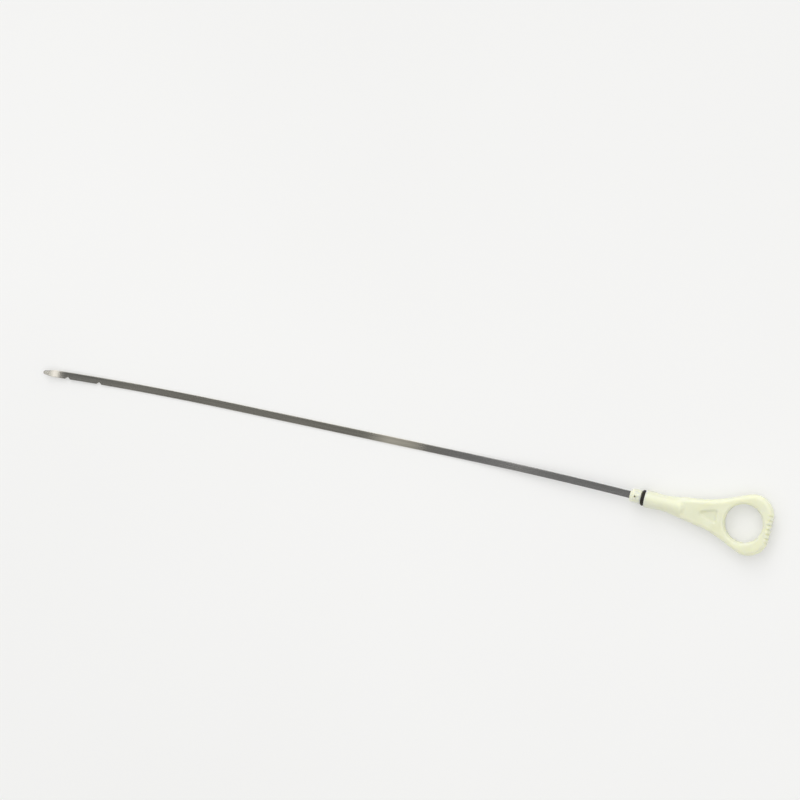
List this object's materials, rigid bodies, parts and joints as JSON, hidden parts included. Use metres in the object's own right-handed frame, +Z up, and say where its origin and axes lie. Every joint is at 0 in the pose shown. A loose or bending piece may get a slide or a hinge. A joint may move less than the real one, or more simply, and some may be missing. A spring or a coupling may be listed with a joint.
{
  "type": "engine oil dipstick",
  "caption": "Flat steel oil level gauge with edge notches near its tip, a rubber sealing ring and a moulded finger ring handle, for reading the oil level in an engine.",
  "frame": {"origin": "on the surface that the dipstick lies on, under the middle of its bounding box", "axes": "+X along the handle's axis from the blade's tip to the handle's end, +Z up, away from the surface"},
  "size_m": [0.53, 0.0418, 0.0128],
  "materials": {
    "spring_steel": "cold rolled strip with fine lengthwise lines, faintly oily",
    "natural_nylon": "undyed moulded nylon, pale greenish cream, slightly translucent, satin",
    "seal_rubber": "moulded nitrile rubber, near black, satin"
  },
  "bodies": {
    "root": {"blade": "spring_steel", "handle": "natural_nylon", "o_ring": "seal_rubber"}
  },
  "joints": []
}
